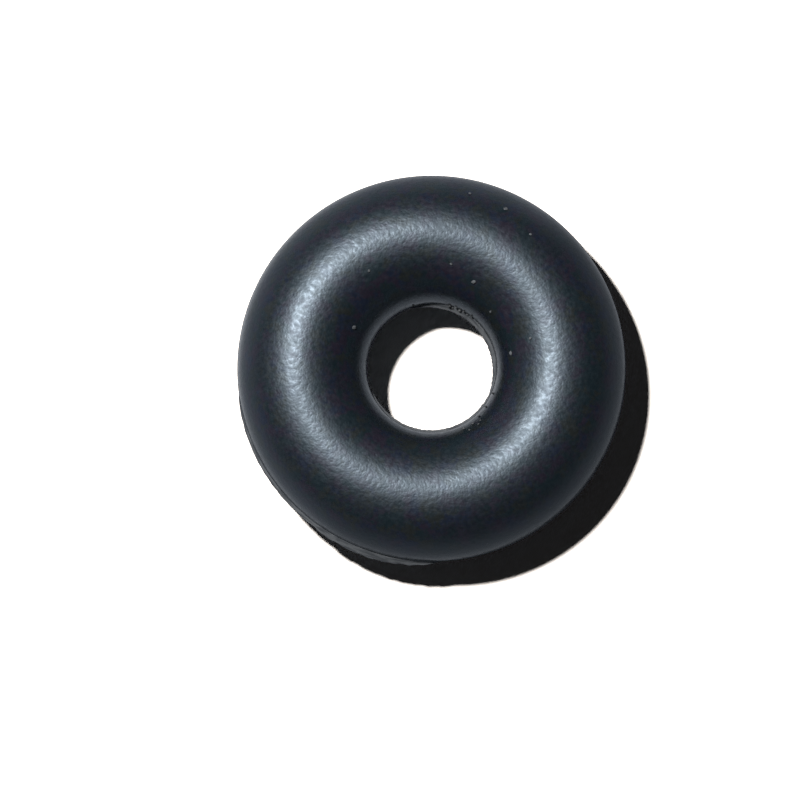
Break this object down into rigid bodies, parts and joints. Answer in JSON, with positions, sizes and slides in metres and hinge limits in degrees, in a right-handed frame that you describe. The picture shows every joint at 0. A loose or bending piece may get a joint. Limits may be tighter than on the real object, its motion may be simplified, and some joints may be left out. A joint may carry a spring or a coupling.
{
  "type": "o-ring",
  "caption": "Thick rubber sealing ring with a round section about as wide as its hole, and fine mould flash on its mid-plane.",
  "frame": {"origin": "centre of the ring, on its axis and on its mid-plane", "axes": "+Z along the ring's axis and up as it rests; +X and +Y lie in the mid-plane, and the hole's crescent of flash lies 46 degrees counterclockwise from +X"},
  "size_m": [0.009, 0.0091, 0.003],
  "materials": {
    "black_rubber": "satin, as moulded"
  },
  "bodies": {
    "root": {"o_ring": "black_rubber"}
  },
  "joints": []
}
